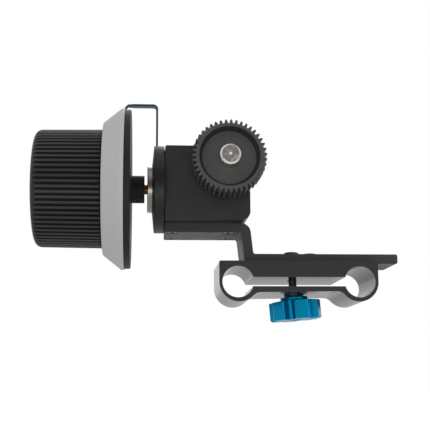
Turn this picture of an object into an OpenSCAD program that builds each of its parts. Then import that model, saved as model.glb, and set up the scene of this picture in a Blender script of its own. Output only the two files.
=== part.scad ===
// Follow focus unit for a pair of parallel rods, in millimetres.
// Origin: midway between the two rod axes, at the middle of the rod clamp's length.
// +X to the drive side's far end, +Y away from the lens side, +Z up. The rods run along Y,
// the drive gear turns about Y and the hand wheel turns about X.

/* [Rods and clamp] */
// Diameter of the support rods
rod_d = 15; // [14.5:0.1:15.5]
// Distance between the rod axes
rod_pitch = 60; // [58:0.5:64]
// Radial play of the open clamp on a rod
rod_play = 0.15; // [0.05:0.01:0.18]
// Length of the clamp along the rods
clamp_len = 35; // [33:0.5:40]
// Wall beside each rod hole
clamp_side_wall = 1.5; // [1.2:0.1:2.5]
// Wall under each rod hole
clamp_floor_wall = 2; // [1.6:0.1:2.6]
// Wall above each rod hole
clamp_roof_wall = 2.6; // [2.2:0.1:4]
// Height of the slot that lets the clamp close
slot_h = 4.5; // [3.5:0.1:5]
// Thickness of the springing arm at its hand wheel end
arm_t_left = 2.9; // [2.6:0.1:3.2]
// Thickness of the springing arm at its far end
arm_t_right = 2.4; // [2.3:0.1:2.9]
// Radius of the sweep from the arm into each lobe
arm_sweep_r = 5.3; // [4:0.1:6]

/* [Clamp screw] */
// Thread diameter of the clamp screw
clamp_screw_d = 4; // [4:0.1:5]
// Offset of the clamp screw from the middle
clamp_screw_x = -0.2; // [-1:0.1:1]
// Lean of the clamp screw and its hole
clamp_lean = 4.5; // [0:0.1:4.5]
// Engaged length above the slot
clamp_screw_grip = 5.8; // [4:0.1:6]
// Diameter of the washer
washer_d = 9.8; // [9:0.1:11]
// Thickness of the washer
washer_t = 1; // [0.8:0.1:1.5]
// Diameter over the knob's lobes
knob_d = 26.2; // [24:0.1:27.5]
// Diameter at the knob's valleys
knob_valley_d = 18.6; // [16:0.2:20]
// Height of the knob
knob_h = 11.4; // [8:0.1:14]
// Height of the neck between the washer and the knob's crown
knob_neck = 0.5; // [0.3:0.1:2]
// Diameter of the knob's round crown
knob_crown_d = 13.8; // [12:0.1:16]
// Rise of the crown above the lobes
knob_crown_h = 1.4; // [0.5:0.1:2]
// Fall of the lobes' upper face from the crown to their ends
knob_fall = 0.9; // [0:0.1:2]
// Depth of the socket under the knob
knob_socket = 2.4; // [1:0.1:3]
// Width of a lobe at its end
lobe_w = 7.4; // [5:0.1:7.8]
// Number of lobes
lobes = 6; // [3:1:6]
// Direction of the first lobe, from the lens side towards +X
lobe_turn = 7; // [0:1:60]

/* [Z bracket] */
// Thickness of the bracket
bracket_t = 4.8; // [4.5:0.1:5.5]
// Depth of the bracket along the rods
bracket_depth = 25; // [24:0.5:27]
// Height of the upper shelf's top above the foot's underside
bracket_rise = 20.4; // [18:0.1:30]
// Lean of the upright web
web_lean = 6; // [0:0.5:8]
// Place of the web's outer face at the upper shelf
web_x = -22.8; // [-23:0.1:-21]
// Far end of the foot
foot_end_x = 52; // [45:0.5:60]
// Outer radius of the upper bend
bend_r = 5; // [3:0.1:6]
// Places of the two foot screws
foot_screw_at = [[0.4, 8], [10.8, 12.6]];
// Thread diameter of the foot screws
foot_screw_d = 4; // [3:0.5:4]
// Head diameter of the foot screws
foot_head_d = 8; // [7:0.1:8]
// Head height of the foot screws
foot_head_h = 3; // [2:0.1:3.2]

/* [Gear box] */
// Place of the gear box's middle
box_x = -44.5; // [-46:0.5:-44]
// Width of the gear box
box_w = 42; // [42:0.5:44]
// Height of the gear box
box_h = 37.1; // [36.6:0.1:42]
// Height of the hand wheel's axis above the bracket
axis_rise = 18.3; // [18.3:0.1:19]
// Wall on the lens side, which holds the front bearings
box_front_wall = 5; // [4.6:0.1:5.5]
// Wall on the hand wheel side
box_left_wall = 4; // [3.5:0.1:4.5]
// Wall on the far side
box_right_wall = 3; // [2.5:0.1:3.5]
// Wall above the gears
box_top_wall = 2; // [1.6:0.1:2]
// Wall that stands on the bracket
box_floor = 5.4; // [5:0.1:5.8]
// Corner radius of the far side
box_corner_r = 4; // [2:0.1:4]
// Thickness of the rear cover
cover_t = 2.5; // [2.4:0.1:3]
// Thread diameter of the cover screws
cover_screw_d = 2.5; // [2:0.5:2.5]
// Distance of the cover screws from the box's sides
cover_screw_inset = 3.6; // [3.4:0.1:4]
// Length of the cover screws
cover_screw_len = 9; // [7:0.5:10]
// Thread diameter of the four screws under the box
shelf_screw_d = 3; // [2.5:0.5:3]
// Spacing of those screws along the shelf
shelf_screw_pitch_x = 28.4; // [26:0.1:29]
// Spacing of those screws along the rods
shelf_screw_pitch_y = 17; // [15:0.5:17]
// Distance of the first of those screws from the shelf's end
shelf_screw_inset = 3.8; // [3.6:0.1:4.5]

/* [Gears and shafts] */
// Module of the lens gear
lens_module = 0.8; // [0.8:0.1:1]
// Teeth of the lens gear
lens_teeth = 43; // [38:1:43]
// Width of the lens gear's rim
lens_rim_w = 12; // [8:0.5:12]
// Depth of the lens gear's open face
lens_recess = 4; // [2:0.5:7]
// Thickness of the rim under the teeth
lens_rim_t = 1.6; // [1.6:0.1:3]
// Draft of the lens gear's open face
lens_recess_draft = 1.5; // [0:0.1:1.5]
// Distance from the box to the back of the lens gear
lens_gap = 4.6; // [3.8:0.1:6]
// Turn of the lens gear from a tooth straight up
lens_turn = 2.6; // [0:0.1:8]
// Diameter of the output shaft outside the box
output_d = 10; // [9:0.1:10]
// Diameter of the output shaft inside the box
output_inner_d = 6; // [5:0.5:6]
// Length of shaft that stands out of the lens gear
output_nose = 4; // [2:0.1:8]
// Module of the spur pair inside the box
spur_module = 0.75; // [0.7:0.05:0.75]
// Teeth of the spur gear on the layshaft
layshaft_spur_teeth = 22; // [22:1:22]
// Teeth of the spur gear on the output shaft
output_spur_teeth = 14; // [14:1:14]
// Direction of the output shaft seen from the layshaft
stage_angle = 45; // [43:0.5:47]
// Width of the spur gears
spur_w = 4.5; // [3:0.1:4.5]
// Module of the bevel pair
bevel_module = 0.8; // [0.7:0.05:0.8]
// Teeth of each bevel gear
bevel_teeth = 16; // [16:2:16]
// Face width of the bevel teeth
bevel_face = 3.5; // [2.5:0.1:3.5]
// Play between the teeth inside the box
tooth_play = 0.22; // [0.18:0.01:0.3]
// Diameter of the input shaft
input_d = 5; // [4:0.5:5]
// Diameter of the layshaft
layshaft_d = 5; // [4:0.5:5]

/* [Bearings] */
// Outer diameter of all the ball bearings
bearing_d = 10; // [9:0.5:10]
// Width of the bearings on the input shaft and layshaft
bearing_w = 4; // [3:0.5:4]
// Width of the bearings on the output shaft
output_bearing_w = 3; // [2.5:0.5:3]
// Wall of the bosses that hold bearings
boss_wall = 1.3; // [1:0.1:1.3]

/* [Pointer] */
// Diameter of the pointer ring
ring_d = 44.6; // [40:0.1:45]
// Thickness of the pointer ring at its rim
ring_t = 5.2; // [4:0.1:6]
// Rise of the ring's face towards its middle
ring_dome = 1; // [0.5:0.1:1.6]
// Depth that the sleeve's flange is sunk into the ring's face
flange_sunk = 1; // [0.5:0.1:1.5]
// Diameter of the journal that the ring turns on
journal_d = 20; // [18:0.1:20]
// Diameter of the bearing sleeve's flange
flange_d = 23.8; // [22:0.1:25]
// Thickness of the bearing sleeve's flange
flange_t = 3.3; // [2.5:0.1:4]
// Thickness of the pointer strip
strip_t = 1; // [0.8:0.1:1.2]
// Depth of the strip's slot below the ring's rim
strip_set = 0.9; // [0.2:0.1:1.2]
// Width of the pointer strip
strip_w = 4; // [3:0.1:4.5]
// Height of the pointer's run above the dial's rim
strip_over_dial = 3.3; // [3:0.1:5]
// Bend radius at the middle of the strip
strip_bend_r = 2; // [1.5:0.1:3]
// Length of the pointer's bent tip
strip_tip = 3.2; // [2:0.1:3.2]

/* [Hand wheel] */
// Diameter of the dial at its rim
dial_d = 82; // [76:0.5:88]
// Diameter of the dial's small end
dial_small_d = 67.2; // [64:0.1:70]
// Width of the dial
dial_w = 10.8; // [9:0.1:13]
// Width of the dial's straight rim
dial_rim_w = 1.5; // [1:0.1:2]
// Diameter of the black plate behind the dial
backplate_d = 80.8; // [74:0.2:81]
// Thickness of the black plate
backplate_t = 3.1; // [3:0.1:5]
// Diameter of the hub
hub_d = 14; // [12:0.1:14]
// Length of the hub
hub_len = 6.8; // [5:0.1:7]
// Bare shaft between the hub and the flange
neck_len = 1.4; // [1:0.1:3]
// Diameter of the grip at the dial
grip_d = 60.2; // [58:0.2:62]
// Diameter of the grip at its outer end
grip_end_d = 59.2; // [57.6:0.2:60]
// Length of the grip
grip_len = 33.2; // [30:0.1:45]
// Gap between the dial and the grip
grip_gap = 0.6; // [0.3:0.1:1]
// Number of ribs round the grip
ribs = 72; // [48:1:80]
// Width of a rib
rib_w = 1.1; // [0.8:0.1:1.3]
// Diameter at the bottom of the grooves
groove_d = 57.4; // [56:0.1:57.4]
// Radius of the grip's outer corner
grip_corner_r = 3.4; // [2:0.1:4]
// Outer diameter of the wheel's core
core_d = 53; // [51:0.2:53]
// Wall of the wheel's core
core_wall = 4.6; // [4.4:0.1:6]
// Thickness of the core's end wall
core_end_wall = 6; // [5:0.5:7]
// Length of the end plate's screws in the core
end_screw_bite = 3.6; // [3:0.2:4]
// Length of the backplate's screws in the core
backplate_screw_bite = 6; // [4:0.5:8]
// Side of the square crank socket
socket_side = 6.5; // [6:0.1:7]
// Depth of the crank socket
socket_depth = 8; // [6:0.5:9]
// Diameter of the end plate
end_plate_d = 40; // [34:0.5:42]
// Thickness of the end plate
end_plate_t = 2; // [1.6:0.1:2.5]

/* [Fits] */
// Radial play of a shaft that turns in a bore
running_play = 0.04; // [0.02:0.01:0.08]
// Radial play of a piece that is seated in another
seat_play = 0.02; // [0.01:0.01:0.04]
// Radial play of a screw in its thread
thread_play = 0.04; // [0.02:0.01:0.08]
// Radial play of a screw in a plain hole
screw_play = 0.2; // [0.1:0.05:0.3]
// Gap between the pointer ring and the gear box
ring_gap = 0.15; // [0.1:0.05:0.3]
// Gap between faces that pass each other
face_gap = 0.3; // [0.2:0.05:0.5]

/* [Hidden] */
$fn = 96;

// Clamp
bore_r = rod_d / 2 + rod_play;
clamp_half_w = rod_pitch / 2 + bore_r + clamp_side_wall;
clamp_top = bore_r + clamp_roof_wall;
clamp_lobe_r = bore_r + clamp_floor_wall;
clamp_lobe_x = clamp_half_w - clamp_lobe_r;
clamp_corner_r = 0.8;
arc_steps = 12;
corner_steps = 5;

// Clamp screw: its own frame has the washer's seat at zero and +Z up along the screw
spot_r = washer_d / 2 + 0.5;
arm_mid_t = (arm_t_left + arm_t_right) / 2;
arm_slope = atan((arm_t_left - arm_t_right) / (2 * clamp_lobe_x - 2 * clamp_lobe_r));
spot_depth = spot_r * (tan(clamp_lean) - tan(arm_slope)) + 0.02;
seat_z = -slot_h / 2 - arm_mid_t + max(spot_depth, 0.05);
clamp_screw_r = clamp_screw_d / 2;
clamp_mouth_x = clamp_screw_x - (slot_h / 2 - seat_z) * tan(clamp_lean);
knob_tilt = tan(clamp_lean) - tan(arm_slope);
knob_drop = max(knob_crown_d / 2 * knob_tilt, knob_d / 2 * knob_tilt - knob_crown_h - knob_fall)
    - spot_depth + face_gap;
knob_top = -max(knob_drop, washer_t + knob_neck);
clamp_screw_low = knob_top - knob_h + knob_socket;
clamp_screw_top = (slot_h / 2 - seat_z + clamp_screw_grip) / cos(clamp_lean);

// Bracket
bracket_back = clamp_len / 2;
bracket_front = bracket_back - bracket_depth;
foot_z = clamp_top;
foot_top = foot_z + bracket_t;
shelf_top = foot_z + bracket_rise;
shelf_under = shelf_top - bracket_t;

// Gear box
box_left = box_x - box_w / 2;
box_right = box_x + box_w / 2;
box_bottom = shelf_top;
box_top = box_bottom + box_h;
box_front = -clamp_len / 2;
box_back = clamp_len / 2;
cover_face = box_back - cover_t;
cavity_front = box_front + box_front_wall;
cavity_left = box_left + box_left_wall;
cavity_right = box_right - box_right_wall;
cavity_bottom = box_bottom + box_floor;
cavity_top = box_top - box_top_wall;
box_small_r = 0.8;
cover_screw_rise = box_floor + 3;
cover_boss_r = cover_screw_d / 2 + 1.35;
cover_screw_xs = [box_left + cover_screw_inset, box_right - cover_screw_inset];
cover_screw_zs = [box_bottom + cover_screw_rise, box_top - cover_screw_inset];
shelf_screw_x = box_left + shelf_screw_inset;
shelf_screw_y = bracket_front + 3.3;
shelf_screw_bite = 4;
shelf_head_d = shelf_screw_d * 1.8;
shelf_head_h = shelf_screw_d;
shelf_pocket_r = shelf_head_d / 2 + 0.4;

// Shafts
wheel_z = box_bottom + axis_rise;
wheel_y = 0;
layshaft_x = box_x;
layshaft_z = wheel_z;
stage_a = spur_module * (layshaft_spur_teeth + output_spur_teeth) / 2;
output_x = layshaft_x + stage_a * cos(stage_angle);
output_z = layshaft_z + stage_a * sin(stage_angle);
bevel_r = bevel_module * bevel_teeth / 2;
bevel_add = 0.9 * bevel_module;
bevel_ded = 1.2 * bevel_module;
bevel_cone = bevel_r * sqrt(2);
bevel_inner = 1 - bevel_face / bevel_cone;
bevel_back = bevel_r + bevel_ded * sqrt(0.5);
bevel_hub_r = 4.5;
bearing_r = bearing_d / 2;
boss_r = bearing_r + boss_wall;
bearing_shoulder = 0.5;
layshaft_boss_front = cover_face - bearing_shoulder - bearing_w + cover_t / 5;
output_boss_front = layshaft_boss_front + bearing_w - output_bearing_w;
spur_front = cavity_front + 0.5;
spur_add = 0.85;
spur_ded = 1.2;
shaft_end_gap = 0.2;

// Lens gear
lens_r = lens_module * lens_teeth / 2;
lens_root_r = lens_r - 1.25 * lens_module;
lens_back = box_front - lens_gap;
lens_front = lens_back - lens_rim_w;
lens_hub_r = output_d / 2 + 3;
lens_hub_back = box_front - 0.5;
lens_grub_d = 3;
lens_grub_angle = 90;

// Pointer and bearing sleeve, measured to the left of the box
ring_back = box_left - ring_gap;
ring_rim = ring_back - ring_t;
ring_face = ring_rim - ring_dome;
ring_floor = ring_face + flange_sunk;
flange_back = ring_floor - face_gap / 3;
flange_front = flange_back - flange_t;
sleeve_r = bearing_r + 3;
sleeve_inner_r = bearing_r + 1.2;
bevel_hub_end = box_x - bevel_back - 3.4;
sleeve_end = bevel_hub_end - face_gap;
ring_r = ring_d / 2;
strip_x = ring_rim + strip_t + strip_set;
strip_foot_r = journal_d / 2 + 3.2;
strip_slot_w = strip_w + 0.1;
pointer_screw_d = 1.6;
pointer_screw_r = (strip_foot_r + ring_r) / 2;

// Hand wheel
hub_end = flange_front - neck_len;
backplate_back = hub_end - hub_len;
backplate_front = backplate_back - backplate_t;
dial_front = backplate_front - dial_w;
grip_back = dial_front - grip_gap;
grip_front = grip_back - grip_len;
core_front = grip_front + 1.2;
core_r = core_d / 2;
end_plate_r = end_plate_d / 2;
socket_body_r = 8;
socket_body_len = socket_depth + 2;
end_screw_d = 2.5;
end_screw_r = (end_plate_r + socket_body_r) / 2;
backplate_screw_d = 3;
backplate_screw_r = core_r - core_wall / 2;
hub_grub_d = 3;
hub_grub_angle = 20;
dial_r = dial_d / 2;

function arc(centre, r, from, to, steps) =
    [for (i = [0:steps]) centre + r * [cos(from + (to - from) * i / steps),
                                       sin(from + (to - from) * i / steps)]];

function unit(v) = v / norm(v);

// Points that round the corner p, between its neighbours a and b, to radius r
function round_at(a, p, b, r, steps) =
    let (u = unit(a - p), v = unit(b - p),
         half = acos(u * v) / 2,
         c = p + unit(u + v) * r / sin(half),
         s = p + u * r / tan(half) - c,
         e = p + v * r / tan(half) - c,
         from = atan2(s[1], s[0]),
         turn = atan2(s[0] * e[1] - s[1] * e[0], s * e))
    arc(c, r, from, from + turn, steps);

// Outline from corners given as [x, y, radius]
function rounded(corners, steps = corner_steps) =
    let (n = len(corners), at = [for (c = corners) [c[0], c[1]]])
    [for (i = [0:n - 1]) each corners[i][2] > 0
        ? round_at(at[(i + n - 1) % n], at[i], at[(i + 1) % n], corners[i][2], steps)
        : [at[i]]];

function involute(angle) = tan(angle) * 180 / PI - angle;

// Half the angle that a tooth fills at radius r, for a 20 degree involute
function half_tooth(r, pitch_r, teeth, play) =
    let (base_r = pitch_r * cos(20), at = max(r, base_r))
    90 / teeth - play / (4 * pitch_r) * 180 / PI + involute(20) - involute(acos(base_r / at));

// Outline of a spur gear with a tooth centred on +X
function spur_outline(teeth, module_mm, addendum, dedendum, play, steps) =
    let (pitch_r = teeth * module_mm / 2,
         root_r = pitch_r - dedendum * module_mm,
         tip_r = pitch_r + addendum * module_mm,
         radii = [for (i = [0:steps]) root_r + (tip_r - root_r) * i / steps])
    [for (t = [0:teeth - 1]) each [
        for (i = [0:steps]) let (a = t * 360 / teeth - half_tooth(radii[i], pitch_r, teeth, play))
            radii[i] * [cos(a), sin(a)],
        for (i = [0:steps]) let (r = radii[steps - i],
            a = t * 360 / teeth + half_tooth(r, pitch_r, teeth, play))
            r * [cos(a), sin(a)]
    ]];

// One ring of a bevel gear's tooth corners: apex at zero, the gear towards +Z
function bevel_ring(scale_to_apex, steps) =
    let (back_r = bevel_r * sqrt(2))
    [for (t = [0:bevel_teeth - 1], side = [-1, 1], i = [0:steps])
        let (k = side < 0 ? i : steps - i,
             off = -bevel_ded + (bevel_add + bevel_ded) * k / steps,
             r = bevel_r + off * sqrt(0.5),
             h = bevel_r - off * sqrt(0.5),
             half = half_tooth(back_r + off, back_r, bevel_teeth * sqrt(2), tooth_play)
                 * (back_r + off) / r,
             a = t * 360 / bevel_teeth + side * half)
        scale_to_apex * [r * cos(a), r * sin(a), h]];

// Frames
module front_extrude(front, back) {
    translate([0, back, 0]) rotate([90, 0, 0]) linear_extrude(back - front) children();
}

module about_wheel() {
    translate([0, wheel_y, wheel_z]) rotate([0, 90, 0]) children();
}

module about_y(x, z) {
    translate([x, 0, z]) rotate([-90, 0, 0]) children();
}

module about_clamp_screw() {
    translate([clamp_screw_x, 0, seat_z]) rotate([0, -clamp_lean, 0]) children();
}

module revolve(corners, steps = corner_steps) {
    rotate_extrude() polygon(rounded(corners, steps));
}

// A plain bar or bore between two heights
module bar(r, from, to) {
    translate([0, 0, from]) cylinder(r = r, h = to - from);
}

// Fasteners: the head's seat is at zero and the shank points down
module hex_recess(across, top, depth) {
    translate([0, 0, top - depth]) cylinder(d = across / cos(30), h = depth + 1, $fn = 6);
}

module cap_screw(d, len, head_d, head_h, key) {
    difference() {
        union() {
            bar(d / 2, -len, 0.01);
            bar(head_d / 2, 0, head_h);
        }
        hex_recess(key, head_h, head_h * 0.55);
    }
}

// A countersunk screw whose head is flush at zero
module flat_screw(d, len, head_d, key) {
    sink = (head_d - d) / 2;
    difference() {
        union() {
            bar(d / 2, -len, -sink / 2);
            translate([0, 0, -sink]) cylinder(r1 = d / 2, r2 = head_d / 2, h = sink);
        }
        hex_recess(key, 0, sink * 0.9);
    }
}

module flat_hole(d, len, head_d, play) {
    sink = (head_d - d) / 2;
    bar(d / 2 + play, -len, 1);
    translate([0, 0, -sink]) cylinder(r1 = d / 2 + seat_play, r2 = head_d / 2 + seat_play, h = sink);
    bar(head_d / 2 + seat_play, -0.001, 1);
}

module grub_screw(d, from, to) {
    difference() {
        bar(d / 2, from, to);
        hex_recess(d / 2, to, (to - from) * 0.5);
    }
}

module ball_bearing(bore_d, w, from) {
    lip = 0.3;
    groove = 0.25;
    race = (bearing_r - bore_d / 2) / 4;
    difference() {
        translate([0, 0, from]) revolve([
            [bore_d / 2 + running_play, 0, 0], [bearing_r - lip, 0, 0], [bearing_r, lip, 0],
            [bearing_r, w - lip, 0], [bearing_r - lip, w, 0], [bore_d / 2 + running_play, w, 0]
        ]);
        for (z = [from - 1, from + w - groove]) translate([0, 0, z]) difference() {
            bar(bearing_r - race, 0, 1 + groove);
            bar(bore_d / 2 + race, -1, 2 + groove);
        }
    }
}

// Rod clamp
function clamp_outline() =
    let (depth_l = slot_h / 2 + arm_t_left,
         depth_r = slot_h / 2 + arm_t_right,
         reach = clamp_lobe_r + arm_sweep_r,
         run_l = sqrt(reach * reach - pow(depth_l + arm_sweep_r, 2)),
         run_r = sqrt(reach * reach - pow(depth_r + arm_sweep_r, 2)),
         turn_l = atan2(depth_l + arm_sweep_r, run_l),
         turn_r = atan2(depth_r + arm_sweep_r, run_r),
         corner = clamp_corner_r)
    concat(
        arc([-clamp_half_w + corner, clamp_top - corner], corner, 90, 180, corner_steps),
        arc([-clamp_lobe_x, 0], clamp_lobe_r, 180, 360 - turn_l, 2 * arc_steps),
        arc([-clamp_lobe_x + run_l, -depth_l - arm_sweep_r], arm_sweep_r,
            180 - turn_l, 90, arc_steps),
        arc([clamp_lobe_x - run_r, -depth_r - arm_sweep_r], arm_sweep_r, 90, turn_r, arc_steps),
        arc([clamp_lobe_x, 0], clamp_lobe_r, 180 + turn_r, 360, 2 * arc_steps),
        arc([clamp_half_w - corner, clamp_top - corner], corner, 0, 90, corner_steps)
    );

module rod_clamp() {
    color("#2b2b2b") difference() {
        front_extrude(-clamp_len / 2, clamp_len / 2) polygon(clamp_outline());
        for (side = [-1, 1]) about_y(side * rod_pitch / 2, 0) bar(bore_r, -clamp_len, clamp_len);
        translate([-rod_pitch / 2, -clamp_len, -slot_h / 2])
            cube([rod_pitch, 2 * clamp_len, slot_h]);
        about_clamp_screw() {
            bar(clamp_screw_r + screw_play, -1, slot_h);
            bar(clamp_screw_r + thread_play, slot_h / 2, clamp_screw_top + 0.6);
            bar(spot_r, -2, 0);
        }
        translate([clamp_mouth_x, 0, slot_h / 2 - 0.01])
            cylinder(r1 = clamp_screw_r + 0.8, r2 = clamp_screw_r + 0.4, h = 0.4);
        for (at = foot_screw_at) translate([at[0], at[1], 0])
            bar(foot_screw_d / 2 + thread_play, slot_h / 2 + 1.2, clamp_top + 1);
    }
}

module clamp_washer() {
    color("#1c1c1c") about_clamp_screw() difference() {
        translate([0, 0, -washer_t]) revolve([
            [0, 0, 0], [washer_d / 2, 0, 0.2], [washer_d / 2, washer_t, 0.2], [0, washer_t, 0]
        ], 3);
        bar(clamp_screw_r + 2 * running_play, -2 * washer_t, washer_t);
    }
}

module clamp_screw() {
    tip = 0.6;
    color("#1c1c1c") about_clamp_screw() revolve([
        [0, clamp_screw_low, 0], [clamp_screw_r, clamp_screw_low, 0],
        [clamp_screw_r, clamp_screw_top - tip, 0],
        [clamp_screw_r - tip, clamp_screw_top, 0], [0, clamp_screw_top, 0]
    ]);
}

// Outline of the knob: straight-sided lobes round a middle
function knob_corners() =
    let (out_r = knob_d / 2, in_r = knob_valley_d / 2,
         end_half = asin(lobe_w / 2 / out_r),
         root_half = asin(lobe_w * 0.52 / in_r))
    [for (i = [0:lobes - 1]) let (at = i * 360 / lobes) each [
        [in_r * cos(at - root_half), in_r * sin(at - root_half), 0.7],
        [out_r * cos(at - end_half), out_r * sin(at - end_half), 0.9],
        [out_r * cos(at + end_half), out_r * sin(at + end_half), 0.9],
        [in_r * cos(at + root_half), in_r * sin(at + root_half), 0.7]
    ]];

module star_knob() {
    chamfer = 0.8;
    pocket_r = 2.9;
    lobe_top = knob_h - knob_crown_h;
    color("#0878b8") about_clamp_screw() difference() {
        union() {
            intersection() {
                translate([0, 0, knob_top - knob_h]) rotate(lobe_turn - 90)
                    linear_extrude(knob_h) polygon(rounded(knob_corners(), 4));
                translate([0, 0, knob_top - knob_h]) revolve([
                    [0, 0, 0], [knob_d / 2 - chamfer, 0, 0], [knob_d / 2 + 1, 1 + chamfer, 0],
                    [knob_d / 2 + 1, lobe_top - knob_fall, 0], [knob_d / 2, lobe_top - knob_fall, 0],
                    [knob_crown_d / 2, lobe_top, 0], [knob_crown_d / 2, knob_h, 0.4], [0, knob_h, 0]
                ]);
            }
            bar(washer_d / 2 - 1.4, knob_top - 0.01, -washer_t);
        }
        bar(clamp_screw_r + seat_play, clamp_screw_low, 1);
        bar(pocket_r, knob_top - knob_h - 1, clamp_screw_low);
    }
}

// Z bracket
module z_bracket() {
    slant = tan(web_lean);
    web_t = bracket_t / cos(web_lean);
    color("#2a2a2a") difference() {
        front_extrude(bracket_front, bracket_back) polygon(rounded([
            [box_left, shelf_under, 0.5],
            [web_x - web_t + slant * bracket_t, shelf_under, 1.2],
            [web_x - web_t + slant * bracket_rise, foot_z, 1],
            [foot_end_x, foot_z, 1],
            [foot_end_x, foot_top, 1],
            [web_x + slant * (bracket_rise - bracket_t), foot_top, 1.2],
            [web_x, shelf_top, bend_r],
            [box_left, shelf_top, 0.5]
        ]));
        for (at = shelf_screw_places()) translate([at[0], at[1], shelf_under]) {
            bar(shelf_screw_d / 2 + screw_play, -1, bracket_t + 1);
            bar(shelf_pocket_r, -1, shelf_head_h + 0.2);
        }
        for (at = foot_screw_at) translate([at[0], at[1], 0])
            bar(foot_screw_d / 2 + screw_play, foot_z - 1, foot_top + 1);
    }
}

function shelf_screw_places() =
    [for (i = [0, 1], j = [0, 1])
        [shelf_screw_x + i * shelf_screw_pitch_x, shelf_screw_y + j * shelf_screw_pitch_y]];

module bracket_screws() {
    color("#1a1a1a") for (at = shelf_screw_places())
        translate([at[0], at[1], shelf_under + shelf_head_h + 0.2]) mirror([0, 0, 1])
            cap_screw(shelf_screw_d, bracket_t - shelf_head_h - 0.2 + shelf_screw_bite,
                shelf_head_d, shelf_head_h, shelf_screw_d * 0.8);
}

module foot_screws() {
    color("#1a1a1a") for (at = foot_screw_at) translate([at[0], at[1], foot_top]) difference() {
        union() {
            bar(foot_screw_d / 2, -bracket_t - clamp_top + slot_h / 2 + 1.6, 0.01);
            revolve([
                [0, 0, 0], [foot_head_d / 2, 0, 0], [foot_head_d / 2, foot_head_h, 1.2],
                [0, foot_head_h, 0]
            ]);
        }
        hex_recess(foot_screw_d * 0.7, foot_head_h, foot_head_h * 0.6);
    }
}

// Gear box
module box_outline() {
    polygon(rounded([
        [box_left, box_bottom, box_small_r], [box_right, box_bottom, box_corner_r],
        [box_right, box_top, box_corner_r], [box_left, box_top, box_small_r]
    ], 8));
}

module cavity_outline() {
    difference() {
        polygon([
            [cavity_left, cavity_bottom], [cavity_right, cavity_bottom],
            [cavity_right, cavity_top], [cavity_left, cavity_top]
        ]);
        for (x = cover_screw_xs, z = cover_screw_zs) translate([x, z]) circle(r = cover_boss_r);
    }
}

module gear_housing() {
    color("#2c2c2c") difference() {
        front_extrude(box_front, cover_face) box_outline();
        front_extrude(cavity_front, cover_face + 1) cavity_outline();
        about_wheel() bar(sleeve_r + seat_play, box_left - 1, cavity_left + 1);
        about_y(layshaft_x, layshaft_z)
            bar(bearing_r + seat_play, cavity_front - bearing_w, cavity_front + 1);
        about_y(output_x, output_z) {
            bar(bearing_r + seat_play, cavity_front - output_bearing_w, cavity_front + 1);
            bar(output_inner_d / 2 + face_gap, box_front - 1, cavity_front);
        }
        for (x = cover_screw_xs, z = cover_screw_zs) about_y(x, z)
            bar(cover_screw_d / 2 + thread_play, box_back - cover_screw_len - 0.5, box_back + 1);
        for (at = shelf_screw_places()) translate([at[0], at[1], 0])
            bar(shelf_screw_d / 2 + thread_play, box_bottom - 1, box_bottom + shelf_screw_bite + 0.4);
    }
}

module rear_cover() {
    color("#2c2c2c") difference() {
        union() {
            front_extrude(cover_face, box_back) box_outline();
            about_y(layshaft_x, layshaft_z) bar(boss_r, layshaft_boss_front, cover_face + 1);
            about_y(output_x, output_z) bar(boss_r, output_boss_front, cover_face + 1);
        }
        about_y(layshaft_x, layshaft_z)
            bar(bearing_r + seat_play, layshaft_boss_front - 1, layshaft_boss_front + bearing_w);
        about_y(output_x, output_z)
            bar(bearing_r + seat_play, output_boss_front - 1, output_boss_front + output_bearing_w);
        for (x = cover_screw_xs, z = cover_screw_zs) about_y(x, z) translate([0, 0, box_back])
            flat_hole(cover_screw_d, cover_t + 2, cover_screw_d * 1.9, screw_play);
    }
}

module cover_screws() {
    color("#1a1a1a") for (x = cover_screw_xs, z = cover_screw_zs)
        about_y(x, z) translate([0, 0, box_back])
            flat_screw(cover_screw_d, cover_screw_len, cover_screw_d * 1.9, 1.5);
}

// Shafts, gears and bearings inside the box
module bevel_gear(hub_end_at, shaft_d) {
    steps = 3;
    back = bevel_ring(1, steps);
    front = bevel_ring(bevel_inner, steps);
    n = len(back);
    rows = concat(back, front, [[0, 0, back[0][2]], [0, 0, front[0][2]]]);
    difference() {
        union() {
            polyhedron(rows, [for (i = [0:n - 1]) let (j = (i + 1) % n) each [
                [i, j, n + j], [i, n + j, n + i], [j, i, 2 * n], [n + i, n + j, 2 * n + 1]
            ]]);
            bar(bevel_hub_r, bevel_back - 0.5, hub_end_at);
        }
        bar(shaft_d / 2 + seat_play, 0, hub_end_at + 1);
    }
}

module input_bevel() {
    color("#b9a36a") translate([box_x, wheel_y, wheel_z]) rotate([0, -90, 0]) rotate(90)
        bevel_gear(box_x - bevel_hub_end, input_d);
}

module layshaft_bevel() {
    color("#b9a36a") about_y(layshaft_x, layshaft_z) rotate(180 + 180 / bevel_teeth)
        bevel_gear(layshaft_boss_front - face_gap, layshaft_d);
}

module spur(teeth, shaft_d) {
    difference() {
        linear_extrude(spur_w)
            polygon(spur_outline(teeth, spur_module, spur_add, spur_ded, tooth_play, 3));
        bar(shaft_d / 2 + seat_play, -1, spur_w + 1);
    }
}

module layshaft_spur() {
    color("#b9a36a") about_y(layshaft_x, layshaft_z) translate([0, 0, spur_front])
        rotate(-stage_angle) spur(layshaft_spur_teeth, layshaft_d);
}

module output_spur() {
    color("#b9a36a") about_y(output_x, output_z) translate([0, 0, spur_front])
        rotate(180 - stage_angle + 180 / output_spur_teeth) spur(output_spur_teeth, output_inner_d);
}

module input_shaft() {
    from = dial_front + 2;
    to = box_x - bevel_inner * bevel_r;
    color("#b87346") about_wheel() revolve([
        [0, from, 0], [input_d / 2 - 0.4, from, 0], [input_d / 2, from + 0.4, 0],
        [input_d / 2, to - 0.4, 0], [input_d / 2 - 0.4, to, 0], [0, to, 0]
    ]);
}

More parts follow.
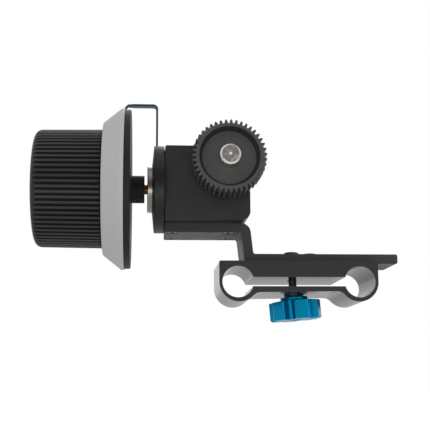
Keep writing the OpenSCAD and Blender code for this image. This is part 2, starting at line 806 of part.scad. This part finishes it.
module layshaft() {
    from = cavity_front - bearing_w + shaft_end_gap;
    to = layshaft_boss_front + bearing_w - shaft_end_gap;
    color("#a8a8a4") about_y(layshaft_x, layshaft_z) revolve([
        [0, from, 0], [layshaft_d / 2 - 0.3, from, 0], [layshaft_d / 2, from + 0.3, 0],
        [layshaft_d / 2, to - 0.3, 0], [layshaft_d / 2 - 0.3, to, 0], [0, to, 0]
    ]);
}

module output_shaft() {
    from = lens_front - output_nose;
    step_at = box_front - face_gap;
    to = output_boss_front + output_bearing_w - shaft_end_gap;
    chamfer = 0.8;
    dimple_r = 0.7;
    color("#b4b2a8") about_y(output_x, output_z) revolve([
        [0, from + dimple_r, 0], [dimple_r, from, 0], [output_d / 2 - chamfer, from, 0],
        [output_d / 2, from + chamfer, 0], [output_d / 2, step_at, 0],
        [output_inner_d / 2, step_at, 0], [output_inner_d / 2, to - 0.3, 0],
        [output_inner_d / 2 - 0.3, to, 0], [0, to, 0]
    ]);
}

module input_bearings() {
    color("#9c9c9c") about_wheel() {
        ball_bearing(input_d, bearing_w, flange_front + bearing_shoulder);
        ball_bearing(input_d, bearing_w, sleeve_end - bearing_w);
    }
}

module layshaft_bearings() {
    color("#9c9c9c") about_y(layshaft_x, layshaft_z) {
        ball_bearing(layshaft_d, bearing_w, cavity_front - bearing_w);
        ball_bearing(layshaft_d, bearing_w, layshaft_boss_front);
    }
}

module output_bearings() {
    color("#9c9c9c") about_y(output_x, output_z) {
        ball_bearing(output_inner_d, output_bearing_w, cavity_front - output_bearing_w);
        ball_bearing(output_inner_d, output_bearing_w, output_boss_front);
    }
}

module drive_gear() {
    rim_in = lens_root_r - lens_rim_t;
    color("#303030") about_y(output_x, output_z) difference() {
        union() {
            translate([0, 0, lens_front]) rotate(-90 + lens_turn)
                linear_extrude(lens_rim_w)
                    polygon(spur_outline(lens_teeth, lens_module, 1, 1.25, 0, 2));
            bar(lens_hub_r, lens_back - 1, lens_hub_back);
        }
        translate([0, 0, lens_front]) revolve([
            [0, -1, 0], [rim_in + 0.15, -1, 0], [rim_in, 0, 0],
            [rim_in - lens_recess_draft, lens_recess, 0.5], [0, lens_recess, 0]
        ]);
        bar(output_d / 2 + seat_play, lens_front, lens_hub_back + 1);
        lens_grub_frame() bar(lens_grub_d / 2 + thread_play, output_d / 2 - 0.5, lens_hub_r + 1);
    }
}

// The grub screw behind the lens gear points up, away from the shaft
module lens_grub_frame() {
    translate([0, 0, (lens_back + lens_hub_back) / 2]) rotate([lens_grub_angle, 0, 0]) children();
}

module gear_grub_screw() {
    color("#1a1a1a") about_y(output_x, output_z) lens_grub_frame()
        grub_screw(lens_grub_d, output_d / 2 + seat_play, lens_hub_r - 0.3);
}

// Bearing sleeve and pointer
module bearing_sleeve() {
    color("#aeb0ac") about_wheel() difference() {
        revolve([
            [0, flange_front, 0], [flange_d / 2, flange_front, 0.4],
            [flange_d / 2, flange_back, 0.2], [journal_d / 2, flange_back, 0],
            [journal_d / 2, box_left, 0], [sleeve_r, box_left, 0], [sleeve_r, cavity_left, 0],
            [sleeve_inner_r, cavity_left, 0], [sleeve_inner_r, sleeve_end, 0], [0, sleeve_end, 0]
        ], 3);
        bar(bearing_r + seat_play, flange_front - 1, flange_front + bearing_shoulder + bearing_w);
        bar(bearing_r + seat_play, sleeve_end - bearing_w, sleeve_end + 1);
        bar(input_d / 2 + 1, flange_front, sleeve_end);
    }
}

module pointer_ring() {
    color("#232323") difference() {
        about_wheel() revolve([
            [journal_d / 2 + running_play, ring_floor, 0], [flange_d / 2 + face_gap, ring_floor, 0],
            [flange_d / 2 + face_gap, ring_face, 0], [ring_r, ring_rim, 0.3], [ring_r, ring_back, 0.5],
            [journal_d / 2 + running_play, ring_back, 0]
        ]);
        translate([ring_face - 1, -strip_slot_w / 2, wheel_z + strip_foot_r])
            cube([strip_x - ring_face + 1, strip_slot_w, ring_r]);
        pointer_screw_frame() bar(pointer_screw_d / 2 + thread_play, -ring_t, 1);
    }
}

module pointer_screw_frame() {
    translate([strip_x - strip_t, wheel_y, wheel_z + pointer_screw_r]) rotate([0, -90, 0])
        children();
}

// The strip's side view: up from the ring, over to the dial and down to the tip
function strip_path() =
    let (top = wheel_z + max(dial_r, backplate_d / 2 + 0.6) + strip_over_dial,
         x = strip_x - strip_t / 2,
         tip_x = backplate_front + 1.2)
    concat(
        [[x, wheel_z + strip_foot_r + 0.05]],
        arc([x - strip_bend_r, top - strip_bend_r], strip_bend_r, 0, 90, 8),
        [[tip_x, top], [tip_x - strip_tip * sqrt(0.5), top - strip_tip * sqrt(0.5)]]
    );

function side_of(path, i, off) =
    let (n = len(path) - 1,
         a = i > 0 ? unit(path[i] - path[i - 1]) : unit(path[1] - path[0]),
         b = i < n ? unit(path[i + 1] - path[i]) : a,
         m = unit(a + b))
    path[i] + off / (m * a) * [-m[1], m[0]];

module pointer_strip() {
    path = strip_path();
    n = len(path) - 1;
    tip = path[n][0] - strip_t;
    taper = tip + strip_w * 1.6;
    color("#1d4a5e") difference() {
        intersection() {
            front_extrude(-strip_w / 2, strip_w / 2) polygon([
                for (i = [0:n]) side_of(path, i, strip_t / 2),
                for (i = [0:n]) side_of(path, n - i, -strip_t / 2)
            ]);
            linear_extrude(4 * dial_r) polygon([
                [box_left, -strip_w], [taper, -strip_w], [taper, -strip_w / 2], [tip, -0.3],
                [tip, 0.3], [taper, strip_w / 2], [taper, strip_w], [box_left, strip_w]
            ]);
        }
        pointer_screw_frame() flat_hole(pointer_screw_d, 2, pointer_screw_d * 1.9, 0.1);
    }
}

module pointer_screw() {
    color("#1a1a1a") pointer_screw_frame()
        flat_screw(pointer_screw_d, ring_t - strip_set - 1, pointer_screw_d * 1.9, 0.9);
}

// Hand wheel
module dial_ring() {
    color("#a9aca9") about_wheel() difference() {
        revolve([
            [0, dial_front, 0], [dial_small_d / 2, dial_front, 1.2],
            [dial_r, backplate_front - dial_rim_w, 1], [dial_r, backplate_front, 0.2],
            [0, backplate_front, 0]
        ]);
        bar(core_r + seat_play, dial_front - 1, backplate_front + 1);
    }
}

module hub_grub_frame() {
    translate([(backplate_back + hub_end) / 2, wheel_y, wheel_z])
        rotate([180 - hub_grub_angle, 0, 0]) children();
}

module backplate_screw_frames() {
    for (i = [0:2]) about_wheel() rotate(i * 120) translate([backplate_screw_r, 0, backplate_back])
        children();
}

module dial_backplate() {
    color("#262626") difference() {
        about_wheel() revolve([
            [0, backplate_front, 0], [backplate_d / 2, backplate_front, 0.4],
            [backplate_d / 2, backplate_back, 0.6], [hub_d / 2, backplate_back, 0.3],
            [hub_d / 2, hub_end, 0.4], [0, hub_end, 0]
        ], 4);
        about_wheel() bar(input_d / 2 + seat_play, backplate_front - 1, hub_end + 1);
        hub_grub_frame() bar(hub_grub_d / 2 + thread_play, input_d / 2 - 0.5, hub_d);
        backplate_screw_frames() flat_hole(backplate_screw_d, backplate_t + 2,
            backplate_screw_d * 1.9, screw_play);
    }
}

module backplate_screws() {
    color("#1a1a1a") backplate_screw_frames()
        flat_screw(backplate_screw_d, backplate_t + backplate_screw_bite, backplate_screw_d * 1.9, 2);
}

module hub_grub_screw() {
    color("#1a1a1a") hub_grub_frame()
        grub_screw(hub_grub_d, input_d / 2 + seat_play, hub_d / 2 - 0.5);
}

module wheel_core() {
    color("#202020") difference() {
        about_wheel() bar(core_r, core_front, backplate_front);
        about_wheel() {
            bar(core_r - core_wall, core_front + core_end_wall, backplate_front + 1);
            bar(end_plate_r + face_gap / 2, core_front - 1, core_front + end_plate_t);
            bar(socket_body_r + seat_play, core_front - 1, core_front + socket_body_len);
        }
        end_screw_frames() bar(end_screw_d / 2 + thread_play, -end_plate_t - end_screw_bite - 0.4, 0);
        backplate_screw_frames()
            bar(backplate_screw_d / 2 + thread_play, -backplate_t - backplate_screw_bite - 0.5,
                -backplate_t + 1);
    }
}

module end_screw_frames() {
    for (i = [0:2]) about_wheel() rotate(60 + i * 120) translate([end_screw_r, 0, core_front])
        mirror([0, 0, 1]) children();
}

module end_plate() {
    color("#2a2a2a") difference() {
        about_wheel() revolve([
            [socket_body_r + seat_play, core_front, 0], [end_plate_r, core_front, 0.4],
            [end_plate_r, core_front + end_plate_t, 0],
            [socket_body_r + seat_play, core_front + end_plate_t, 0]
        ]);
        end_screw_frames() flat_hole(end_screw_d, end_plate_t + 2, end_screw_d * 1.9, screw_play);
    }
}

module end_plate_screws() {
    color("#1a1a1a") end_screw_frames()
        flat_screw(end_screw_d, end_plate_t + end_screw_bite, end_screw_d * 1.9, 1.5);
}

module crank_socket() {
    color("#a8a8a4") about_wheel() difference() {
        revolve([
            [0, core_front, 0], [socket_body_r, core_front, 0.4],
            [socket_body_r, core_front + core_end_wall, 0], [0, core_front + core_end_wall, 0]
        ]);
        translate([-socket_side / 2, -socket_side / 2, core_front - 1])
            cube([socket_side, socket_side, socket_depth + 1]);
    }
}

// The fluted grip: a drafted barrel cut by straight grooves
function ribbed_outline() =
    let (floor_r = groove_d / 2, out_r = grip_d / 2 + 1,
         half_out = asin(rib_w / 2 / out_r), half_in = asin((rib_w + 0.3) / 2 / floor_r))
    [for (i = [0:ribs - 1]) let (at = i * 360 / ribs) each [
        floor_r * [cos(at - half_in), sin(at - half_in)],
        out_r * [cos(at - half_out), sin(at - half_out)],
        out_r * [cos(at + half_out), sin(at + half_out)],
        floor_r * [cos(at + half_in), sin(at + half_in)]
    ]];

module grip_sleeve() {
    color("#1f1f1f") about_wheel() difference() {
        intersection() {
            revolve([
                [0, grip_front, 0], [grip_end_d / 2, grip_front, grip_corner_r],
                [grip_d / 2, grip_back, 0.3], [0, grip_back, 0]
            ]);
            translate([0, 0, grip_front - 1]) linear_extrude(grip_len + 2)
                polygon(ribbed_outline());
        }
        bar(core_r + seat_play, grip_front - 1, grip_back + 1);
    }
}

grip_sleeve();
wheel_core();
end_plate();
end_plate_screws();
crank_socket();
dial_ring();
dial_backplate();
backplate_screws();
hub_grub_screw();
input_shaft();
input_bevel();
input_bearings();
bearing_sleeve();
pointer_ring();
pointer_strip();
pointer_screw();
gear_housing();
rear_cover();
cover_screws();
layshaft();
layshaft_bevel();
layshaft_spur();
layshaft_bearings();
output_spur();
output_shaft();
output_bearings();
drive_gear();
gear_grub_screw();
z_bracket();
bracket_screws();
foot_screws();
rod_clamp();
clamp_washer();
clamp_screw();
star_knob();
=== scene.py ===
"""Looks of the follow focus unit: finishes, light, floor and the photograph's camera."""

import math

import bpy
from mathutils import Matrix, Vector

MM = 0.001
WHEEL_Z = 48.95 * MM
OUTPUT_X, OUTPUT_Z = -34.954 * MM, 58.496 * MM
FLOOR_Z = -350 * MM
FLOOR_SIZE = 60
# Where the lamps point
MIDDLE = (-0.04, 0, 0.04)
# The floor, the light it adds to the camera and to a glossy face, and the white surround
FLOOR_PALE = 0.86
FLOOR_GLOW_SEEN, FLOOR_GLOW_MIRRORED = 0.55, 0.2
SURROUND = 0.55
SURROUND_SEEN = 1.0
# In mm: the grip's groove floor and crest radii, which bound the painted shade in the grooves, the
# stretch of X where that painted shade fades out at the wheel's outer end, and the inner and outer
# radii of the painted shade on the wall round the gear's open front
GROOVE_RADII = (28.6, 29.6)
GROOVE_RUN_OUT = (-126.6, -128.6)
RECESS_RADII, RECESS_SOFT = (12.9, 14.9), 0.3
# Most of a noise texture lies between these values
NOISE_LOW, NOISE_HIGH = 0.35, 0.65
# A glossy face sees this much light behind the camera and in front of it, between these Y directions
CARD_DARK, CARD_BRIGHT = 0.25, 1.0
CARD_FROM, CARD_TO = -0.95, -0.45
# The photograph's camera: place in mm, yaw, pitch and roll in degrees, and lengths in pixels
CAMERA_PLACE = (-74.6, -444.6, -49.9)
CAMERA_TURN = (4.49, 10.91, -0.4)
CAMERA_FOCAL, PHOTO_WIDTH = 890, 430
SENSOR_WIDTH = 36

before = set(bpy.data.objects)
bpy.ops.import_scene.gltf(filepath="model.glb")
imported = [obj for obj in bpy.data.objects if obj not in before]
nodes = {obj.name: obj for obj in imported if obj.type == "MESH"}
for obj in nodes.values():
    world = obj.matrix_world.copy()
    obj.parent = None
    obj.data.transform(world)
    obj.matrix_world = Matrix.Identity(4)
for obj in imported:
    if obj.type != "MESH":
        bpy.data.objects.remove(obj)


def srgb(r, g, b):
    """Linear colour of an 8-bit display colour."""
    shares = (r / 255, g / 255, b / 255)
    lin = [c / 12.92 if c <= 0.04045 else ((c + 0.055) / 1.055) ** 2.4 for c in shares]
    return (*lin, 1.0)


class Finish:
    """A material with one Principled shader and small helpers to wire nodes into it."""

    def __init__(self, name, colour, rough, metal=0.0, specular=0.5):
        self.mat = bpy.data.materials.new(name)
        self.mat.use_nodes = True
        self.tree = self.mat.node_tree
        self.shader = self.tree.nodes["Principled BSDF"]
        self.set("Base Color", colour)
        self.set("Roughness", rough)
        self.set("Metallic", metal)
        self.set("Specular IOR Level", specular)
        self.mat.diffuse_color = colour
        self.normal = None

    def set(self, socket, value):
        self.shader.inputs[socket].default_value = value

    def add(self, kind, **values):
        node = self.tree.nodes.new(kind)
        for key, value in values.items():
            if key in node.inputs:
                node.inputs[key].default_value = value
            else:
                setattr(node, key, value)
        return node

    def link(self, a, out, b, into):
        self.tree.links.new(a.outputs[out], b.inputs[into])

    def math(self, operation, a, b=None):
        """A Math node; a and b are numbers or (node, output) pairs."""
        node = self.add("ShaderNodeMath", operation=operation)
        for i, v in enumerate((a, b)):
            if v is None:
                continue
            if isinstance(v, tuple):
                self.link(v[0], v[1], node, i)
            else:
                node.inputs[i].default_value = v
        return node, 0

    def place(self):
        return self.add("ShaderNodeTexCoord"), "Object"

    def radius(self, first, z, across=1):
        """Distance from an axis along X at y, z, or with across=0 from one along Y at x, z."""
        split = self.add("ShaderNodeSeparateXYZ")
        self.link(*self.place(), split, 0)
        da = self.math("SUBTRACT", (split, across), first)
        dz = self.math("SUBTRACT", (split, 2), z)
        square = self.math("ADD", self.math("MULTIPLY", da, da), self.math("MULTIPLY", dz, dz))
        return self.math("SQRT", square)

    def edges(self, radius_mm):
        """Softens the look of sharp edges."""
        bevel = self.add("ShaderNodeBevel", samples=4)
        bevel.inputs["Radius"].default_value = radius_mm * MM
        self.normal = bevel
        self.link(bevel, 0, self.shader, "Normal")
        return self

    def bump(self, height, distance_mm, strength):
        node = self.add("ShaderNodeBump", Strength=strength, Distance=distance_mm * MM)
        self.link(height[0], height[1], node, "Height")
        if self.normal:
            self.link(self.normal, 0, node, "Normal")
        self.normal = node
        self.link(node, 0, self.shader, "Normal")
        return self

    def grain(self, size_mm, depth_mm, strength=1.0, detail=3.0):
        noise = self.add("ShaderNodeTexNoise", Scale=1 / (size_mm * MM), Detail=detail)
        self.link(*self.place(), noise, "Vector")
        return self.bump((noise, 0), depth_mm, strength)

    def streaks(self, pitch_mm, depth_mm, strength=1.0):
        """Drawn lines along Y, as on an extrusion."""
        turn = self.add("ShaderNodeMapping")
        turn.inputs["Scale"].default_value = (1, 0.02, 1)
        self.link(*self.place(), turn, "Vector")
        noise = self.add("ShaderNodeTexNoise", Scale=1 / (pitch_mm * MM), Detail=3.0)
        self.link(turn, 0, noise, "Vector")
        return self.bump((noise, 0), depth_mm, strength)

    def turned(self, y, z, pitch_mm, depth_mm, strength=1.0):
        """Fine turning marks round an axis along X."""
        noise = self.add("ShaderNodeTexNoise", noise_dimensions="1D", Detail=2.0)
        noise.inputs["W"].default_value = 0.0
        noise.inputs["Scale"].default_value = 1 / (pitch_mm * MM)
        r = self.radius(y, z)
        self.link(r[0], r[1], noise, "W")
        return self.bump((noise, 0), depth_mm, strength)

    def ramp(self, value, start_mm, end_mm):
        """0 to 1 as a length goes from start to end."""
        span = self.add("ShaderNodeMapRange")
        span.inputs["From Min"].default_value = start_mm * MM
        span.inputs["From Max"].default_value = end_mm * MM
        self.link(value[0], value[1], span, 0)
        return span, 0

    def groove_painted_shade(self, y, z, radii_mm, ends_mm, dark):
        """Painted shade in a groove: darker and duller from floor to crest radius, fading out between
        two ends.
        """
        crest = self.ramp(self.radius(y, z), *radii_mm)
        split = self.add("ShaderNodeSeparateXYZ")
        self.link(*self.place(), split, 0)
        span = self.math("MAXIMUM", crest, self.ramp((split, 0), *ends_mm))[0]
        return self.shade(span, dark)

    def recess_painted_shade(self, x, z, radii_mm, soft_mm, dark):
        """Painted shade between two distances from an axis along Y: darker and duller on a recess's
        wall.
        """
        r = self.radius(x, z, 0)
        inside = self.ramp(r, radii_mm[0] + soft_mm, radii_mm[0])
        outside = self.ramp(r, radii_mm[1] - soft_mm, radii_mm[1])
        return self.shade(self.math("MAXIMUM", inside, outside)[0], dark)

    def shade(self, span, dark):
        """Painted shade: the dark colour without shine where span is 0, the finish itself where it is
        1.
        """
        mix = self.add("ShaderNodeMix", data_type="RGBA")
        mix.inputs[6].default_value = dark
        mix.inputs[7].default_value = self.shader.inputs["Base Color"].default_value
        self.link(span, 0, mix, 0)
        self.link(mix, 2, self.shader, "Base Color")
        shine = self.math("MULTIPLY", (span, 0), self.shader.inputs["Specular IOR Level"].default_value)
        self.link(shine[0], shine[1], self.shader, "Specular IOR Level")
        return self

    def vary(self, size_mm, low, high):
        """Roughness that wanders between two values."""
        noise = self.add("ShaderNodeTexNoise", Scale=1 / (size_mm * MM), Detail=2.0)
        self.link(*self.place(), noise, "Vector")
        span = self.add("ShaderNodeMapRange")
        span.inputs["From Min"].default_value = NOISE_LOW
        span.inputs["From Max"].default_value = NOISE_HIGH
        span.inputs["To Min"].default_value = low
        span.inputs["To Max"].default_value = high
        self.link(noise, 0, span, 0)
        self.link(span, 0, self.shader, "Roughness")
        return self


anodised = (
    Finish("anodised_black", srgb(39, 39, 39), rough=0.4, specular=0.33)
    .edges(0.25)
    .vary(9, 0.32, 0.4)
    .grain(0.25, 0.003, 0.5)
)
bracket_black = (
    Finish("bracket_black", srgb(51, 51, 51), rough=0.5, specular=0.26)
    .edges(0.25)
    .vary(9, 0.46, 0.54)
    .grain(0.25, 0.003, 0.5)
)
clamp_black = (
    Finish("clamp_black", srgb(47, 47, 46), rough=0.18, specular=0.42)
    .edges(0.2)
    .streaks(0.6, 0.008, 0.8)
)
rubber = (
    Finish("grip_rubber", srgb(43, 43, 43), rough=0.44, specular=0.18)
    .edges(0.12)
    .grain(0.35, 0.006, 0.7)
)
# Painted shade: the grip's grooves are darker and duller than its crests
rubber.groove_painted_shade(0, WHEEL_Z, GROOVE_RADII, GROOVE_RUN_OUT, srgb(29, 29, 29))
wheel_black = (
    Finish("wheel_black", srgb(25, 25, 24), rough=0.55, specular=0.18)
    .edges(0.2)
    .turned(0, WHEEL_Z, 0.2, 0.003, 0.6)
)
ring_black = (
    Finish("ring_black", srgb(12, 12, 12), rough=0.42, specular=0.28)
    .edges(0.2)
    .turned(0, WHEEL_Z, 0.2, 0.002, 0.5)
)
dial_grey = (
    Finish("dial_grey", srgb(166, 167, 166), rough=0.5, specular=0.3)
    .edges(0.15)
    .turned(0, WHEEL_Z, 0.25, 0.002, 0.5)
)
sleeve = (
    Finish("sleeve_silver", srgb(122, 122, 115), rough=0.25, metal=1.0)
    .edges(0.2)
    .turned(0, WHEEL_Z, 0.15, 0.002, 0.6)
)
bronze = Finish("shaft_bronze", srgb(76, 48, 28), rough=0.25, metal=1.0).edges(0.1)
brass = Finish("gear_brass", srgb(206, 182, 120), rough=0.32, metal=1.0).edges(0.1)
steel = (
    Finish("steel", srgb(168, 166, 158), rough=0.24, metal=1.0)
    .edges(0.1)
    .vary(3, 0.18, 0.32)
    .grain(0.9, 0.02, 0.5)
)
pin_steel = (
    Finish("pin_steel", srgb(205, 203, 196), rough=0.2, metal=1.0)
    .edges(0.1)
    .vary(2.5, 0.12, 0.34)
    .grain(1.1, 0.03, 0.6)
)
screw_black = Finish("screws_black", srgb(26, 26, 27), rough=0.3, metal=0.2).edges(0.12)
pointer_blue = Finish("pointer_blue", srgb(24, 60, 78), rough=0.34, metal=0.3, specular=0.3).edges(0.12)
plastic = (
    Finish("gear_plastic", srgb(62, 62, 62), rough=0.42, specular=0.4)
    .edges(0.15)
    .grain(0.4, 0.003, 0.5)
)
# Painted shade: the sloped wall round the gear's open front is darker and duller
plastic.recess_painted_shade(OUTPUT_X, OUTPUT_Z, RECESS_RADII, RECESS_SOFT, srgb(46, 46, 46))
knob_blue = (
    Finish("knob_blue", srgb(6, 130, 170), rough=0.3, metal=0.96, specular=0.3)
    .edges(0.3)
    .grain(0.3, 0.003, 0.4)
)

FINISHES = {
    anodised: ["gear_housing", "rear_cover"],
    bracket_black: ["z_bracket"],
    clamp_black: ["rod_clamp"],
    rubber: ["grip_sleeve"],
    wheel_black: ["wheel_core", "end_plate", "dial_backplate"],
    ring_black: ["pointer_ring"],
    dial_grey: ["dial_ring"],
    sleeve: ["bearing_sleeve"],
    bronze: ["input_shaft"],
    brass: ["input_bevel", "layshaft_bevel", "layshaft_spur", "output_spur"],
    steel: ["crank_socket", "layshaft", "input_bearings", "layshaft_bearings", "output_bearings"],
    pin_steel: ["output_shaft"],
    screw_black: [
        "end_plate_screws", "backplate_screws", "hub_grub_screw", "pointer_screw", "cover_screws",
        "gear_grub_screw", "bracket_screws", "foot_screws", "clamp_screw", "clamp_washer",
    ],
    pointer_blue: ["pointer_strip"],
    plastic: ["drive_gear"],
    knob_blue: ["star_knob"],
}
for finish, names in FINISHES.items():
    for name in names:
        data = nodes[name].data
        data.materials.clear()
        data.materials.append(finish.mat)

# Floor, light and the white surround
bpy.ops.mesh.primitive_plane_add(size=FLOOR_SIZE, location=(0, 0, FLOOR_Z))
floor = bpy.context.object
floor.name = "floor"
pale = bpy.data.materials.new("floor_pale")
pale.use_nodes = True
tree = pale.node_tree
tree.nodes.clear()
out = tree.nodes.new("ShaderNodeOutputMaterial")
matt = tree.nodes.new("ShaderNodeBsdfDiffuse")
matt.inputs["Color"].default_value = (FLOOR_PALE, FLOOR_PALE, FLOOR_PALE, 1)
glow = tree.nodes.new("ShaderNodeEmission")
glow.inputs["Color"].default_value = (1, 1, 1, 1)
path = tree.nodes.new("ShaderNodeLightPath")
glint = tree.nodes.new("ShaderNodeMath")
glint.operation = "MULTIPLY"
glint.inputs[1].default_value = FLOOR_GLOW_MIRRORED
tree.links.new(path.outputs["Is Glossy Ray"], glint.inputs[0])
seen = tree.nodes.new("ShaderNodeMath")
seen.operation = "MULTIPLY_ADD"
seen.inputs[1].default_value = FLOOR_GLOW_SEEN
tree.links.new(path.outputs["Is Camera Ray"], seen.inputs[0])
tree.links.new(glint.outputs[0], seen.inputs[2])
tree.links.new(seen.outputs[0], glow.inputs["Strength"])
both = tree.nodes.new("ShaderNodeAddShader")
tree.links.new(matt.outputs[0], both.inputs[0])
tree.links.new(glow.outputs[0], both.inputs[1])
tree.links.new(both.outputs[0], out.inputs["Surface"])
floor.data.materials.append(pale)

world = bpy.data.worlds.new("studio")
bpy.context.scene.world = world
world.use_nodes = True
tree = world.node_tree
tree.nodes.clear()
out = tree.nodes.new("ShaderNodeOutputWorld")
path = tree.nodes.new("ShaderNodeLightPath")
sky = tree.nodes.new("ShaderNodeBackground")
sky.inputs["Color"].default_value = (1, 1, 1, 1)


def blend(factor, a, b):
    """a where the factor is 0, b where it is 1; a and b are numbers or outputs."""
    node = tree.nodes.new("ShaderNodeMix")
    node.data_type = "FLOAT"
    tree.links.new(factor, node.inputs[0])
    for socket, v in ((node.inputs[2], a), (node.inputs[3], b)):
        if isinstance(v, (int, float)):
            socket.default_value = v
        else:
            tree.links.new(v, socket)
    return node.outputs[0]


# What a glossy face sees: white all round, darker behind the camera
way = tree.nodes.new("ShaderNodeTexCoord")
split = tree.nodes.new("ShaderNodeSeparateXYZ")
tree.links.new(way.outputs["Generated"], split.inputs[0])
card = tree.nodes.new("ShaderNodeMapRange")
card.interpolation_type = "SMOOTHSTEP"
card.inputs["From Min"].default_value = CARD_FROM
card.inputs["From Max"].default_value = CARD_TO
card.inputs["To Min"].default_value = CARD_DARK
card.inputs["To Max"].default_value = CARD_BRIGHT
tree.links.new(split.outputs["Y"], card.inputs[0])
strength = blend(path.outputs["Is Glossy Ray"], SURROUND, card.outputs[0])
strength = blend(path.outputs["Is Transmission Ray"], strength, SURROUND_SEEN)
strength = blend(path.outputs["Is Camera Ray"], strength, SURROUND_SEEN)
tree.links.new(strength, sky.inputs["Strength"])
tree.links.new(sky.outputs[0], out.inputs["Surface"])


def lamp(name, place, size, watts):
    """A rectangular area lamp turned to the middle of the unit."""
    light = bpy.data.lights.new(name, "AREA")
    light.shape = "RECTANGLE"
    light.size, light.size_y = size
    light.energy = watts
    o = bpy.data.objects.new(name, light)
    bpy.context.scene.collection.objects.link(o)
    o.location = Vector(place)
    o.rotation_mode = "QUATERNION"
    o.rotation_quaternion = (Vector(MIDDLE) - Vector(place)).to_track_quat("-Z", "Y")


lamp("key", (-0.75, -0.65, 0.95), (0.8, 0.8), 5)
lamp("fill", (0.8, -0.8, 0.35), (0.8, 0.8), 2.5)
lamp("low", (-0.2, -0.8, -0.3), (0.8, 0.4), 3)
lamp("back", (0.2, 0.9, 0.8), (0.8, 0.6), 3)


def camera(place, turn, focal_px, width_px):
    """The camera at a place in mm, with its yaw, pitch and roll in degrees."""
    yaw, pitch, roll = (math.radians(a) for a in turn)
    flat = math.cos(pitch)
    forward = Vector((math.sin(yaw) * flat, math.cos(yaw) * flat, math.sin(pitch)))
    right = Vector((math.cos(yaw), -math.sin(yaw), 0))
    up = right.cross(forward)
    r = right * math.cos(roll) + up * math.sin(roll)
    u = up * math.cos(roll) - right * math.sin(roll)
    data = bpy.data.cameras.new("camera")
    data.sensor_width = SENSOR_WIDTH
    data.lens = SENSOR_WIDTH * focal_px / width_px
    data.clip_start, data.clip_end = 0.01, 100
    o = bpy.data.objects.new("camera", data)
    bpy.context.scene.collection.objects.link(o)
    turned = Matrix((r, u, -forward)).transposed().to_4x4()
    o.matrix_world = Matrix.Translation(Vector(place) * MM) @ turned
    return o


bpy.context.scene.camera = camera(CAMERA_PLACE, CAMERA_TURN, CAMERA_FOCAL, PHOTO_WIDTH)
bpy.context.scene.view_settings.view_transform = "Standard"
